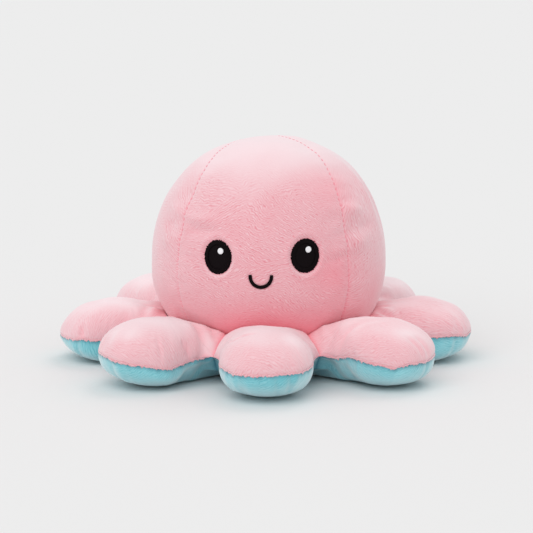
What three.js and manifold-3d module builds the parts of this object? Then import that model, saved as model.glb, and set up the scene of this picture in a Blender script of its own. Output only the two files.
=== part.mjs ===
// A plush octopus, sewn from pink and blue short-pile fabric over loose fibre filling.
// A round head of four panels stands on a ring of eight stuffed legs. The blue lining of the
// head is turned inside it as a pocket that opens underneath, so that the toy can be turned
// inside out. Millimetres, +Z up. The origin is on the floor under the middle of the toy, the
// face looks along -Y, and right means +X.

import * as THREE from "three";
import { mergeVertices } from "three/addons/utils/BufferGeometryUtils.js";
import Module from "manifold-3d";

const wasm = await Module();
wasm.setup();

// Fabric, and the clearance between pieces that touch on the real toy
const fabric = 2;
const gap = 0.3;
const overrun = 40; // how far a cutting tool reaches past what it cuts
const weld = 1e-4; // points closer than this are one

// Head
const headRadius = 56.5;
const headWaist = 47; // height of the widest level
const headTop = 108.5;
const headDepth = 50; // how far the lower half would reach below the widest level
const headRoundness = 2.2; // exponent of the upper curve: 2 is an ellipse
const headTurn = -3.7; // degrees that the head is twisted on the ring
const headClearance = 0.5;
const panelNames = ["back", "left", "front", "right"]; // anticlockwise from above
const seamNames = ["back_right", "back_left", "front_left", "front_right"];
const panelCount = panelNames.length;
const seamDip = 1.2; // depth of the groove along a seam
const seamReach = 2.5; // degrees to each side that the groove takes up

// The soft fold on which a leg bends, and the rounded root that turns in the ring
const foldStandoff = 5.5; // from the head's widest level out to the fold
const foldHeight = 15;
const foldReach = headRadius + foldStandoff;
const rootRadius = 12.2;
const rootClearance = 0.5;
const riseNotch = 20; // degrees cut from the leg's top so that it can rise
const dropNotch = 25; // degrees cut from its underside so that it can drop

// Legs
const legNames = ["right", "back_right", "back", "back_left", "left", "front_left", "front", "front_right"];
const legCount = legNames.length;
const legLength = 38; // from the fold to the tip
const legWidth = 42.6;
const legHeight = 30.6;
const legSpacing = 0.63; // half the least gap between two legs' roots
const legRoundness = 2.2;
const soleRoundness = 3;
const soleFlat = 0.5; // how deep the stuffed underside is pressed flat
const crownStandoff = 11; // from the fold out to the leg's highest point
const seamHeight = 12.5; // the pink and the blue fabric meet at this height
const legReach = foldReach + legLength;
const legCrown = foldReach + crownStandoff;
const legRootWidth = 2 * ((foldReach - rootRadius) * Math.tan(Math.PI / legCount) - legSpacing);

// Ring that joins the legs under the head
const webStandoff = 1.5; // from the fold out to the notch between two legs
const ringTop = 19.5;
const ringShoulder = 17.5; // how far inside its edge the ring's top begins to fall
const ringLip = 18.5; // how far inside its edge the underside lifts off the floor
const ringReach = foldReach + webStandoff;
const ringTopReach = ringReach - ringShoulder;
const ringRest = ringReach - ringLip;

// Pocket inside the head
const mouthRadius = 17;
const mouthLength = 14;
const pocketRadius = 23;
const pocketWaist = 40;
const pocketTop = 78;

// Sewing thread along the head's seams
const threadRadius = 0.4;
const threadCrown = 14; // distance from the axis at which the threads begin
const threadLiftReach = 30; // inside this distance the thread rises out of its narrowing groove

// Face
const eyeWidth = 13.4;
const eyeHeight = 15.6;
const eyeLevel = 57.7;
const eyeSpacing = 40.3; // between the eyes' middles, along the fabric
const eyeThickness = 0.9;
const borderWidth = 1.2; // satin stitches round the eye
const borderThickness = 1.2;
const glintWidth = 3.1;
const glintHeight = 3.4;
const glintAside = 1.4;
const glintAbove = 2.9;
const glintThickness = 0.5;
const smileWidth = 9.8;
const smileDrop = 5.2;
const smileLevel = 49.4;
const smileStroke = 1.5;

// How finely the curves are divided
const headSteps = { across: [0, seamReach, 8, 18, 31.5, 45, 58.5, 72, 82, 90 - seamReach], upper: 9, lower: 4 };
const coreSteps = { across: [0, 18, 36, 54, 72], upper: 6, lower: 3 };
const pocketSteps = { across: 20, swell: 3, dome: 4 };
const ringSteps = { across: 48, arc: 4 };
const skinSteps = { tip: 10, side: 3, root: 4, topShares: [0.38, 0.71, 0.92], soleShares: [0.92, 0.62] };
const fillSteps = { tip: 6, side: 2, root: 2, topShares: [0.5, 0.87], soleShares: [0.8] };
const rootSteps = 20;
const eyeSteps = 20;
const patchCoreShare = 0.5; // ring halfway between an oval patch's middle and its edge
const threadSteps = 20;
const threadSides = 5;
const smileSteps = 14;
const smileSides = 6;

const rad = THREE.MathUtils.degToRad;
const materials = {
  pink: new THREE.MeshStandardMaterial({ color: 0xf0bcc4, roughness: 0.95 }),
  blue: new THREE.MeshStandardMaterial({ color: 0x8cc8d2, roughness: 0.95 }),
  filling: new THREE.MeshStandardMaterial({ color: 0xf4f3ee, roughness: 1 }),
  black: new THREE.MeshStandardMaterial({ color: 0x1c1618, roughness: 0.8 }),
  white: new THREE.MeshStandardMaterial({ color: 0xf2f0f4, roughness: 0.7 }),
  thread: new THREE.MeshStandardMaterial({ color: 0xe0909c, roughness: 0.8 }),
};

// Solids from geometry, and geometry from solids

function solidOf(geometry) {
  const bare = geometry.clone();
  bare.deleteAttribute("normal");
  bare.deleteAttribute("uv");
  const merged = mergeVertices(bare, weld);
  return new wasm.Manifold(
    new wasm.Mesh({
      numProp: 3,
      vertProperties: new Float32Array(merged.attributes.position.array),
      triVerts: new Uint32Array(merged.index.array),
    }),
  );
}

function geometryOf(solid) {
  const mesh = solid.getMesh();
  const geometry = new THREE.BufferGeometry();
  geometry.setAttribute("position", new THREE.BufferAttribute(mesh.vertProperties, mesh.numProp));
  geometry.setIndex(new THREE.BufferAttribute(mesh.triVerts, 1));
  const faceted = geometry.toNonIndexed();
  faceted.computeVertexNormals();
  return faceted;
}

function surface(points, triangles) {
  const geometry = new THREE.BufferGeometry();
  geometry.setAttribute("position", new THREE.Float32BufferAttribute(points.flat(), 3));
  geometry.setIndex(triangles);
  return geometry;
}

// Bands of triangles between rings of equally many points. Each ring runs anticlockwise as
// seen from outside its first face.
function bands(rings, closed) {
  const count = rings[0].length;
  const triangles = [];
  const last = closed ? rings.length : rings.length - 1;
  for (let r = 0; r < last; r++) {
    const a = r * count;
    const b = ((r + 1) % rings.length) * count;
    for (let i = 0; i < count; i++) {
      const j = (i + 1) % count;
      triangles.push(a + i, b + i, b + j, a + i, b + j, a + j);
    }
  }
  return triangles;
}

// A closed body from a first point, through the rings, to a last point
function ball(first, rings, last) {
  const count = rings[0].length;
  const points = [...rings.flat(), first, last];
  const triangles = bands(rings, false);
  const start = rings.length * count;
  const end = start - count;
  for (let i = 0; i < count; i++) {
    const j = (i + 1) % count;
    triangles.push(start, i, j, end + i, start + 1, end + j);
  }
  return solidOf(surface(points, triangles));
}

// A closed body like a tyre, whose last ring joins its first
function hoop(rings) {
  return solidOf(surface(rings.flat(), bands(rings, true)));
}

function evenAngles(count) {
  return Array.from({ length: count }, (_, i) => (i * 360) / count);
}

function circle(radius, height, angles) {
  return angles.map((angle) => [radius * Math.cos(rad(angle)), radius * Math.sin(rad(angle)), height]);
}

function block(x0, x1, halfWidth, z0, z1) {
  const box = new THREE.BoxGeometry(x1 - x0, 2 * halfWidth, z1 - z0);
  box.translate((x0 + x1) / 2, 0, (z0 + z1) / 2);
  return box;
}

const everything = legReach + overrun;
const aboveSeam = solidOf(block(-everything, everything, everything, seamHeight + gap / 2, headTop + overrun));
const belowSeam = solidOf(block(-everything, everything, everything, -overrun, seamHeight - gap / 2));

// Height of a stuffed surface at a share of the way from its middle to its edge
function dome(share, exponent) {
  return (1 - share ** exponent) ** (1 / exponent);
}

// Legs, in a frame of their own: x runs outwards from the toy's axis

function legOutline(steps, inset) {
  const half = legWidth / 2 - inset;
  const rootHalf = legRootWidth / 2 - inset;
  const tipMiddle = legReach - legWidth / 2;
  const rootEnd = foldReach - rootRadius - fabric;
  const points = [];
  for (let i = 0; i <= steps.tip; i++) {
    const angle = (i / steps.tip - 0.5) * Math.PI;
    points.push([tipMiddle + half * Math.cos(angle), half * Math.sin(angle)]);
  }
  const stretch = (x0, y0, x1, y1, count) => {
    for (let i = 1; i <= count; i++) points.push([x0 + ((x1 - x0) * i) / count, y0 + ((y1 - y0) * i) / count]);
  };
  stretch(tipMiddle, half, rootEnd, rootHalf, steps.side);
  stretch(rootEnd, rootHalf, rootEnd, -rootHalf, steps.root);
  stretch(rootEnd, -rootHalf, tipMiddle, -half, steps.side);
  points.pop();
  return points;
}

function legPillow(steps, inset) {
  const outline = legOutline(steps, inset);
  const rise = legHeight - inset - seamHeight;
  const drop = seamHeight + soleFlat - inset;
  const ring = (share, height) =>
    outline.map(([x, y]) => [legCrown + share * (x - legCrown), share * y, seamHeight + height]);
  const rings = [
    ...steps.topShares.map((share) => ring(share, rise * dome(share, legRoundness))),
    ring(1, 0),
    ...steps.soleShares.map((share) => ring(share, -drop * dome(share, soleRoundness))),
  ];
  return ball([legCrown, 0, seamHeight + rise], rings, [legCrown, 0, seamHeight - drop]);
}

function foldCylinder(radius, width) {
  const cylinder = new THREE.CylinderGeometry(radius, radius, width, rootSteps);
  return cylinder.translate(foldReach, 0, foldHeight);
}

// What a leg may fill without meeting the ring as it turns: its rounded root, and a wedge
// that opens outwards from the fold
function legEnvelope(inset) {
  const high = legHeight + overrun;
  const wedge = new THREE.Shape([
    new THREE.Vector2(foldReach + inset, 0),
    new THREE.Vector2(foldReach + inset + high * Math.tan(rad(riseNotch)), high),
    new THREE.Vector2(everything, high),
    new THREE.Vector2(everything, -high),
    new THREE.Vector2(foldReach + inset + high * Math.tan(rad(dropNotch)), -high),
  ]);
  const body = new THREE.ExtrudeGeometry(wedge, { depth: 2 * legWidth, bevelEnabled: false });
  body.rotateX(Math.PI / 2).translate(0, legWidth, foldHeight);
  const floor = solidOf(block(0, everything, everything, inset, headTop));
  return solidOf(body)
    .add(solidOf(foldCylinder(rootRadius - inset, 2 * legWidth)))
    .intersect(floor);
}

function legBody(steps, inset) {
  return legPillow(steps, inset).intersect(legEnvelope(inset));
}

function legPieces() {
  const shell = legBody(skinSteps, 0).subtract(legBody(fillSteps, fabric));
  return {
    top_skin: [shell.intersect(aboveSeam), materials.pink],
    bottom_skin: [shell.intersect(belowSeam), materials.blue],
    filling: [legBody(fillSteps, fabric + gap), materials.filling],
  };
}

// Head, turned about the toy's axis

// The upper curve at an angle from the top, and the lower one at an angle below the widest level
function headUpper(angle, inset) {
  const power = 2 / headRoundness;
  const rise = headTop - headWaist - inset;
  return [(headRadius - inset) * Math.sin(angle) ** power, headWaist + rise * Math.cos(angle) ** power];
}

function headLower(angle, inset) {
  return [(headRadius - inset) * Math.cos(angle), headWaist - (headDepth - inset) * Math.sin(angle)];
}

function headProfile(steps, inset, floor) {
  const points = [];
  const lowest = Math.asin((headWaist - floor) / (headDepth - inset));
  for (let i = 1; i <= steps.upper; i++) points.push(headUpper((i / steps.upper) * (Math.PI / 2), inset));
  for (let i = 1; i <= steps.lower; i++) points.push(headLower((i / steps.lower) * lowest, inset));
  return points;
}

function headBall(steps, inset, floor, dip) {
  const panel = 360 / panelCount;
  const angles = [];
  for (let p = 0; p < panelCount; p++) angles.push(...steps.across.map((a) => (p + a / 90) * panel));
  const rings = headProfile(steps, inset, floor).map(([radius, height]) =>
    angles.map((angle, i) => {
      const r = radius - (i % steps.across.length === 0 ? dip * (radius / headRadius) : 0);
      return [r * Math.cos(rad(angle)), r * Math.sin(rad(angle)), height];
    }),
  );
  return ball([0, 0, headTop - inset], rings, [0, 0, floor]);
}

// Cuts a hollow turned shape into its sewn panels, with a gap at each seam
function panelsOf(shell) {
  const half = 180 / panelCount;
  const apex = gap / 2 / Math.sin(rad(half));
  const side = 3 * headRadius;
  return Array.from({ length: panelCount }, (_, p) => {
    const middle = rad((p + 0.5) * 2 * half);
    const corner = (turn) => [
      apex * Math.cos(middle) + side * Math.cos(middle + turn),
      apex * Math.sin(middle) + side * Math.sin(middle + turn),
    ];
    const wedge = new THREE.Shape([
      new THREE.Vector2(apex * Math.cos(middle), apex * Math.sin(middle)),
      new THREE.Vector2(...corner(-rad(half))),
      new THREE.Vector2(...corner(rad(half))),
    ]);
    const prism = new THREE.ExtrudeGeometry(wedge, { depth: headTop + 2 * overrun, bevelEnabled: false });
    return shell.intersect(solidOf(prism.translate(0, 0, -overrun)));
  });
}

// The pocket's surface, moved outwards from its hollow by spread
function pocketBall(spread, floor) {
  const angles = evenAngles(pocketSteps.across);
  const profile = [];
  for (let i = 1; i <= pocketSteps.dome; i++) {
    const angle = (i / pocketSteps.dome) * (Math.PI / 2);
    const rise = pocketTop - pocketWaist + spread;
    profile.push([(pocketRadius + spread) * Math.sin(angle), pocketWaist + rise * Math.cos(angle)]);
  }
  for (let i = 1; i <= pocketSteps.swell; i++) {
    const share = i / pocketSteps.swell;
    const narrowing = ((pocketRadius - mouthRadius) * (1 - Math.cos(Math.PI * share))) / 2;
    profile.push([pocketRadius + spread - narrowing, pocketWaist + (mouthLength - pocketWaist) * share]);
  }
  profile.push([mouthRadius + spread, floor]);
  const rings = profile.map(([radius, height]) => circle(radius, height, angles));
  return ball([0, 0, pocketTop + spread], rings, [0, 0, floor]);
}

function headPieces() {
  const floor = seamHeight + gap / 2;
  const skin = headBall(headSteps, 0, floor, seamDip).subtract(headBall(coreSteps, fabric, floor - fabric, 0));
  const core = headBall(coreSteps, fabric + gap, floor - fabric, 0).intersect(aboveSeam);
  const filling = core.subtract(pocketBall(fabric + gap, -overrun));
  const lining = pocketBall(fabric, fabric + gap).subtract(pocketBall(0, -overrun));
  return { skin: panelsOf(skin), filling, lining: panelsOf(lining) };
}

// A point of the seam at an angle from the top of the head, for a thread lying in its groove
function seamPoint(angle) {
  const [radius, height] = headUpper(Math.min(angle, Math.PI / 2), 0);
  const [lowRadius, lowHeight] = headLower(Math.max(angle - Math.PI / 2, 0), 0);
  const upper = angle < Math.PI / 2;
  const r = upper ? radius : lowRadius;
  const z = upper ? height : lowHeight;
  const out = Math.min(Math.max((threadLiftReach - r) / (threadLiftReach - threadCrown), 0), 1);
  const lift = gap + threadRadius - seamDip * (r / headRadius) * (1 - out);
  const slope = Math.atan2((z - headWaist) / headRadius, r / headRadius);
  return new THREE.Vector3(r + lift * Math.cos(slope), 0, z + lift * Math.sin(slope));
}

function tubeAlong(curve, radius, sides, steps) {
  const section = new THREE.Shape(
    evenAngles(sides).map((a) => new THREE.Vector2(radius * Math.cos(rad(a)), radius * Math.sin(rad(a)))),
  );
  return new THREE.ExtrudeGeometry(section, { steps, extrudePath: curve, bevelEnabled: false });
}

function seamThread() {
  const first = Math.asin((threadCrown / headRadius) ** (headRoundness / 2));
  const last = Math.PI / 2 + Math.asin((headWaist - ringTop - fabric) / headDepth);
  const points = [];
  for (let i = 0; i <= threadSteps; i++) points.push(seamPoint(first + ((last - first) * i) / threadSteps));
  return tubeAlong(new THREE.CatmullRomCurve3(points), threadRadius, threadSides, threadSteps);
}

// Face, placed on the head's own curve in the frame of the unturned head

function headAt(level) {
  const rise = headTop - headWaist;
  const share = (level - headWaist) / rise;
  const depth = (headWaist - level) / headDepth;
  if (share <= 0) return { radius: headRadius * Math.sqrt(1 - depth * depth), slope: -depth };
  const radius = headRadius * (1 - share ** headRoundness) ** (1 / headRoundness);
  return { radius, slope: Math.atan((headRadius / rise) * (share / (radius / headRadius)) ** (headRoundness - 1)) };
}

// The point that lies so far along the fabric from the middle of the face, lifted off the head
function facePoint(along, level, lift) {
  const { radius, slope } = headAt(level);
  const angle = -Math.PI / 2 + along / radius;
  const r = radius + lift * Math.cos(slope);
  return [r * Math.cos(angle), r * Math.sin(angle), level + lift * Math.sin(slope)];
}

function oval(along, level, width, height, share, lift) {
  return evenAngles(eyeSteps).map((a) =>
    facePoint(along + (share * width * Math.cos(rad(a))) / 2, level + (share * height * Math.sin(rad(a))) / 2, lift),
  );
}

function ovalPatch(along, level, width, height, low, high) {
  const ring = (share, lift) => oval(along, level, width, height, share, lift);
  const rings = [ring(patchCoreShare, high), ring(1, high), ring(1, low), ring(patchCoreShare, low)];
  return ball(facePoint(along, level, high), rings, facePoint(along, level, low));
}

function eyePieces(side) {
  const along = (side * eyeSpacing) / 2;
  const inner = { width: eyeWidth - 2 * borderWidth, height: eyeHeight - 2 * borderWidth };
  const crest = gap + borderThickness;
  const glintRest = 2 * gap + eyeThickness;
  const border = [
    oval(along, eyeLevel, inner.width, inner.height, 1, gap),
    oval(along, eyeLevel, inner.width, inner.height, 1, crest - gap),
    oval(along, eyeLevel, eyeWidth - borderWidth, eyeHeight - borderWidth, 1, crest),
    oval(along, eyeLevel, eyeWidth, eyeHeight, 1, crest - gap),
    oval(along, eyeLevel, eyeWidth, eyeHeight, 1, gap),
  ];
  return {
    patch: ovalPatch(along, eyeLevel, inner.width - 2 * gap, inner.height - 2 * gap, gap, gap + eyeThickness),
    border: hoop(border),
    glint: ovalPatch(
      along + glintAside, eyeLevel + glintAbove, glintWidth, glintHeight, glintRest, glintRest + glintThickness,
    ),
  };
}

function smile() {
  const points = [];
  for (let i = 0; i <= smileSteps; i++) {
    const angle = (i / smileSteps - 0.5) * Math.PI;
    const level = smileLevel - smileDrop * Math.cos(angle);
    points.push(new THREE.Vector3(...facePoint((smileWidth / 2) * Math.sin(angle), level, gap + smileStroke / 2)));
  }
  return tubeAlong(new THREE.CatmullRomCurve3(points), smileStroke / 2, smileSides, smileSteps);
}

// Ring between the legs, under the head

function ringBody(inset, hole) {
  const angles = evenAngles(ringSteps.across);
  const rings = [circle(hole, ringTop - inset, angles), circle(ringTopReach, ringTop - inset, angles)];
  for (let i = 1; i <= ringSteps.arc; i++) {
    const angle = (i / ringSteps.arc) * (Math.PI / 2);
    const radius = ringTopReach + (ringReach - inset - ringTopReach) * Math.sin(angle);
    rings.push(circle(radius, seamHeight + (ringTop - inset - seamHeight) * Math.cos(angle), angles));
  }
  for (let i = 1; i <= ringSteps.arc; i++) {
    const angle = (i / ringSteps.arc) * (Math.PI / 2);
    const radius = ringRest + (ringReach - inset - ringRest) * Math.cos(angle);
    rings.push(circle(radius, seamHeight - (seamHeight - inset) * Math.sin(angle), angles));
  }
  rings.push(circle(hole, inset, angles));
  return hoop(rings);
}

// Room for the legs' roots to turn in
function legRoom() {
  const trough = rootRadius + rootClearance;
  const half = legRootWidth / 2 + rootClearance;
  const one = solidOf(foldCylinder(trough, 2 * half))
    .add(solidOf(block(foldReach - trough, everything, half, foldHeight, headTop)))
    .add(solidOf(block(foldReach - trough * Math.SQRT1_2, everything, half, -overrun, headTop)));
  let all = one;
  for (let i = 1; i < legCount; i++) all = all.add(one.rotate([0, 0, (360 * i) / legCount]));
  return all;
}

function ringPieces() {
  const room = legRoom();
  const head = headBall(coreSteps, -headClearance - gap, seamHeight, 0);
  const skin = ringBody(0, mouthRadius).subtract(ringBody(fabric, mouthRadius - fabric));
  const wall = fabric + gap;
  return {
    neck_ring: [ringBody(0, mouthRadius).intersect(aboveSeam).subtract(head).subtract(room), materials.pink],
    ring_bottom_skin: [skin.intersect(belowSeam).subtract(room), materials.blue],
    ring_filling: [ringBody(wall, mouthRadius + wall).intersect(belowSeam).subtract(room), materials.filling],
  };
}

// The whole toy

const octopus = new THREE.Group();

function place(group, name, geometry, material) {
  const mesh = new THREE.Mesh(geometry, material);
  mesh.name = name;
  group.add(mesh);
}

for (const [name, [solid, material]] of Object.entries(ringPieces())) {
  place(octopus, name, geometryOf(solid), material);
}

const pieces = Object.entries(legPieces()).map(([piece, [solid, material]]) => [piece, geometryOf(solid), material]);
for (let i = 0; i < legCount; i++) {
  const leg = new THREE.Group();
  leg.rotation.z = (2 * Math.PI * i) / legCount;
  for (const [piece, geometry, material] of pieces) place(leg, `leg_${legNames[i]}_${piece}`, geometry, material);
  octopus.add(leg);
}

const head = new THREE.Group();
head.rotation.z = rad(headTurn);
octopus.add(head);

const seamed = new THREE.Group(); // the panels' middles face the four sides
seamed.rotation.z = rad(180 / panelCount);
head.add(seamed);

const { skin, filling, lining } = headPieces();
const thread = seamThread();
for (let p = 0; p < panelCount; p++) {
  place(seamed, `head_panel_${panelNames[p]}`, geometryOf(skin[p]), materials.pink);
  place(seamed, `lining_panel_${panelNames[p]}`, geometryOf(lining[p]), materials.blue);
  const seam = new THREE.Group();
  seam.rotation.z = (2 * Math.PI * p) / panelCount;
  place(seam, `seam_thread_${seamNames[p]}`, thread, materials.thread);
  seamed.add(seam);
}
place(seamed, "head_filling", geometryOf(filling), materials.filling);

for (const [side, name] of [[-1, "left"], [1, "right"]]) {
  const eye = eyePieces(side);
  place(head, `eye_patch_${name}`, geometryOf(eye.patch), materials.black);
  place(head, `eye_border_${name}`, geometryOf(eye.border), materials.black);
  place(head, `eye_glint_${name}`, geometryOf(eye.glint), materials.white);
}
place(head, "smile", smile(), materials.black);

export default octopus;
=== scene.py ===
import math

import bpy
import numpy as np
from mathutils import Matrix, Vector


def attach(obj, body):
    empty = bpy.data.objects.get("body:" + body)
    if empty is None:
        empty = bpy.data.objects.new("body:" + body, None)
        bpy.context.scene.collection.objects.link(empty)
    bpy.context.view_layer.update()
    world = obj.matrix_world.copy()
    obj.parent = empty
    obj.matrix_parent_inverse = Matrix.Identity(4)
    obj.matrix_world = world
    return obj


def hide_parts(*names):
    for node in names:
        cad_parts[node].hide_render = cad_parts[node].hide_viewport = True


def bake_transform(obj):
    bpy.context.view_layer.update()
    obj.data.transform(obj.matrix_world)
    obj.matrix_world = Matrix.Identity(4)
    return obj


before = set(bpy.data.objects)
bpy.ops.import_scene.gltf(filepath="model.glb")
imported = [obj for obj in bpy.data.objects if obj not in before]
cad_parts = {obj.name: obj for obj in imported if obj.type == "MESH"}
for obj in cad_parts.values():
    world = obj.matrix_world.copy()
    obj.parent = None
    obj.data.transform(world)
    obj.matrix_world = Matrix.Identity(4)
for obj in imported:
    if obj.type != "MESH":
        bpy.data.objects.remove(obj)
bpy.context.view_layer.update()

millimetre = 0.001
fineness = 1.0  # 1 is the finished density of the meshes


# Repeatable noise on arrays of points

def scramble(x, y, z, seed):
    low = np.int64(0xFFFFFFFF)
    mixed = (x * 374761393 + y * 668265263 + z * 1103515245 + seed * 974634777) & low
    mixed = ((mixed ^ (mixed >> 13)) * 1274126177) & low
    return mixed ^ (mixed >> 16)


largest = 1023  # of the ten bits that give a corner's slope along one axis
steepness = 1.6  # brings the bumps to about 1


def noise(points, size, seed):  # smooth bumps about size across, mostly from -1 to 1
    places = points / np.asarray(size, float)
    cell = np.floor(places).astype(np.int64)
    inside = places - cell
    ease = inside ** 3 * (inside * (inside * 6 - 15) + 10)
    total = np.zeros(places.shape[:-1])
    for corner in np.ndindex(2, 2, 2):
        mixed = scramble(*(cell[..., k] + corner[k] for k in range(3)), seed)
        share = steepness / (largest / 2)
        lean = 0
        for k in range(3):
            lean = lean + ((mixed >> (10 * k) & largest) - largest / 2) * (inside[..., k] - corner[k])
            share = share * (ease[..., k] if corner[k] else 1 - ease[..., k])
        total += share * lean
    return total


def flat(u, v):  # fabric coordinates as points for noise
    return np.stack([u, v, np.zeros_like(u)], -1)


def step(value, low, high):  # eases from 0 at low to 1 at high
    t = np.clip((value - low) / (high - low), 0, 1)
    return t * t * (3 - 2 * t)


def bell(value, width):
    return np.exp(-((value / width) ** 2))


def lesser(a, b, reach):  # the lower of two heights, with the corner rounded
    h = np.clip(0.5 + 0.5 * (b - a) / reach, 0, 1)
    return b + (a - b) * h - reach * h * (1 - h)


# Meshes

def meshFrom(name, points, faces, material, uv=None, marks=None):
    mesh = bpy.data.meshes.new(name)
    mesh.from_pydata((points.reshape(-1, 3) * millimetre).tolist(), [], faces)
    corners = np.zeros(len(mesh.loops), np.int32)
    mesh.loops.foreach_get("vertex_index", corners)
    if uv is not None:
        layer = mesh.uv_layers.new(name="fabric")
        layer.data.foreach_set("uv", uv.reshape(-1, 2)[corners].astype(np.float32).ravel())
    for key, values in (marks or {}).items():
        layer = mesh.attributes.new(key, "FLOAT", "POINT")
        layer.data.foreach_set("value", values.astype(np.float32).ravel())
    mesh.materials.append(material)
    mesh.shade_smooth()
    piece = bpy.data.objects.new(name, mesh)
    bpy.context.scene.collection.objects.link(piece)
    return piece


def dress(piece, slot, *nodes):  # hides the nodes that the piece stands in for
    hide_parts(*nodes)


def gridFaces(rows, columns, closed=False, flip=False):
    i, j = np.meshgrid(np.arange(rows - 1), np.arange(columns if closed else columns - 1), indexing="ij")
    a = i * columns + j
    b = i * columns + (j + 1) % columns
    faces = np.stack([a, b, b + columns, a + columns], -1).reshape(-1, 4)
    return (faces[:, ::-1] if flip else faces).tolist()


def normalsOf(points, flip):  # of rings of points, rows by columns
    across = np.roll(points, -1, 1) - np.roll(points, 1, 1)
    down = np.gradient(points, axis=0)
    normal = np.cross(down, across) if flip else np.cross(across, down)
    return normal / np.maximum(np.linalg.norm(normal, axis=-1, keepdims=True), 1e-9)


def turned(points, angle):  # about the toy's axis, anticlockwise from above
    c, s = math.cos(angle), math.sin(angle)
    x, y = points[..., 0], points[..., 1]
    return np.stack([x * c - y * s, x * s + y * c, points[..., 2]], -1)


# Shader maths

class Wire:
    def __init__(self, finish, socket):
        self.finish = finish
        self.socket = socket

    def maths(self, operation, *values):
        return self.finish.node("ShaderNodeMath", {"operation": operation}, dict(enumerate(values)))

    def sine(self):
        return self.maths("SINE", self)

    def __add__(self, other):
        return self.maths("ADD", self, other)

    def __radd__(self, other):
        return self.maths("ADD", other, self)

    def __sub__(self, other):
        return self.maths("SUBTRACT", self, other)

    def __rsub__(self, other):
        return self.maths("SUBTRACT", other, self)

    def __mul__(self, other):
        return self.maths("MULTIPLY", self, other)

    def __rmul__(self, other):
        return self.maths("MULTIPLY", other, self)

    def __pow__(self, other):
        return self.maths("POWER", self, other)


class Finish:
    def __init__(self, name):
        self.material = bpy.data.materials.new(name)
        self.material.use_nodes = True
        self.tree = self.material.node_tree
        self.tree.nodes.clear()

    def node(self, kind, settings, values, output=0):
        made = self.tree.nodes.new(kind)
        for key, value in settings.items():
            setattr(made, key, value)
        for key, value in values.items():
            if isinstance(value, Wire):
                self.tree.links.new(value.socket, made.inputs[key])
            else:
                made.inputs[key].default_value = value
        return Wire(self, made.outputs[output]) if made.outputs else None

    def noise(self, vector, scale, detail=2.0):
        return self.node("ShaderNodeTexNoise", {}, {"Vector": vector, "Scale": scale, "Detail": detail})

    def vector(self, operation, a, b):
        return self.node("ShaderNodeVectorMath", {"operation": operation}, {0: a, 1: b})

    def between(self, factor, a, b, way="MIX"):
        settings = {"data_type": "RGBA", "blend_type": way}
        return self.node("ShaderNodeMix", settings, {0: factor, 6: a, 7: b}, 2)

    def attribute(self, name):
        return self.node("ShaderNodeAttribute", {"attribute_name": name}, {}, 2)

    def surface(self, values):
        shader = self.node("ShaderNodeBsdfPrincipled", {}, values)
        self.node("ShaderNodeOutputMaterial", {}, {"Surface": shader})
        return self.material


def colour(red, green, blue):  # from a colour as a picture shows it, 0 to 255
    def linear(c):
        c = c / 255
        return c / 12.92 if c <= 0.04045 else ((c + 0.055) / 1.055) ** 2.4
    return (linear(red), linear(green), linear(blue), 1.0)


pile = {
    "flowSize": 30.0,  # the ripples of the pile wander in swirls about this wide
    "flowReach": 6.0,
    "waverSize": 6.0,
    "waverReach": 0.9,
    "ripple": 0.93,  # from one ripple to the next; they lie across the way the pile is brushed
    "strokeLength": 1.9,
    "strokeWidth": 1.3,
    "unrest": 12.0,  # how much the ripples break and bend
    "breakScale": 0.9,  # how many breaks there are to a stroke's width
    "breaks": (0.3, 0.62),  # noise at which a ripple starts to show and shows in full
    "faintest": 0.15,
    "thinness": 1.7,  # of the dark lines between the ripples
    "middle": 0.41,  # the shade of a ripple that leaves the fabric's own
    "gain": 1.6,
    "speckle": 0.3,
    "speckleSize": 0.625,
    "crossing": 50.0,  # degrees between the two ways that the ripples lie
    "crossSize": 14.0,
    "crossShare": (0.45, 0.65),  # noise between which one way gives place to the other
    "patchSize": 13.0,
    "depth": 0.04,
    "paintedSheenPower": 1.5,
    "smoothing": 0.85,  # how much flatter the pile is where it lies smooth
}


def strokes(finish, place, turn):  # fine broken lines, low in the lines, with a heading in degrees
    values = {"Vector": place, "Rotation": (0.0, 0.0, math.radians(turn))}
    place = finish.node("ShaderNodeMapping", {}, values)
    size = (1 / pile["strokeLength"], 1 / pile["strokeWidth"], 1)
    bend = finish.noise(finish.vector("MULTIPLY", place, size), 1.0, 1.0)
    across = finish.node("ShaderNodeSeparateXYZ", {}, {0: place}, 1)
    wave = (across * (2 * math.pi / pile["ripple"]) + bend * pile["unrest"]).sine()
    elsewhere = finish.vector("ADD", place, (7.0, 3.0, 0.0))
    breaks = finish.noise(elsewhere, pile["breakScale"] / pile["strokeWidth"], 0.0)
    first, full = pile["breaks"]
    values = {"Value": breaks, "From Min": first, "From Max": full, "To Min": pile["faintest"]}
    lines = pile["middle"] - (0.5 - 0.5 * wave) ** pile["thinness"]
    return lines * finish.node("ShaderNodeMapRange", {}, values) * pile["gain"]


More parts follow.
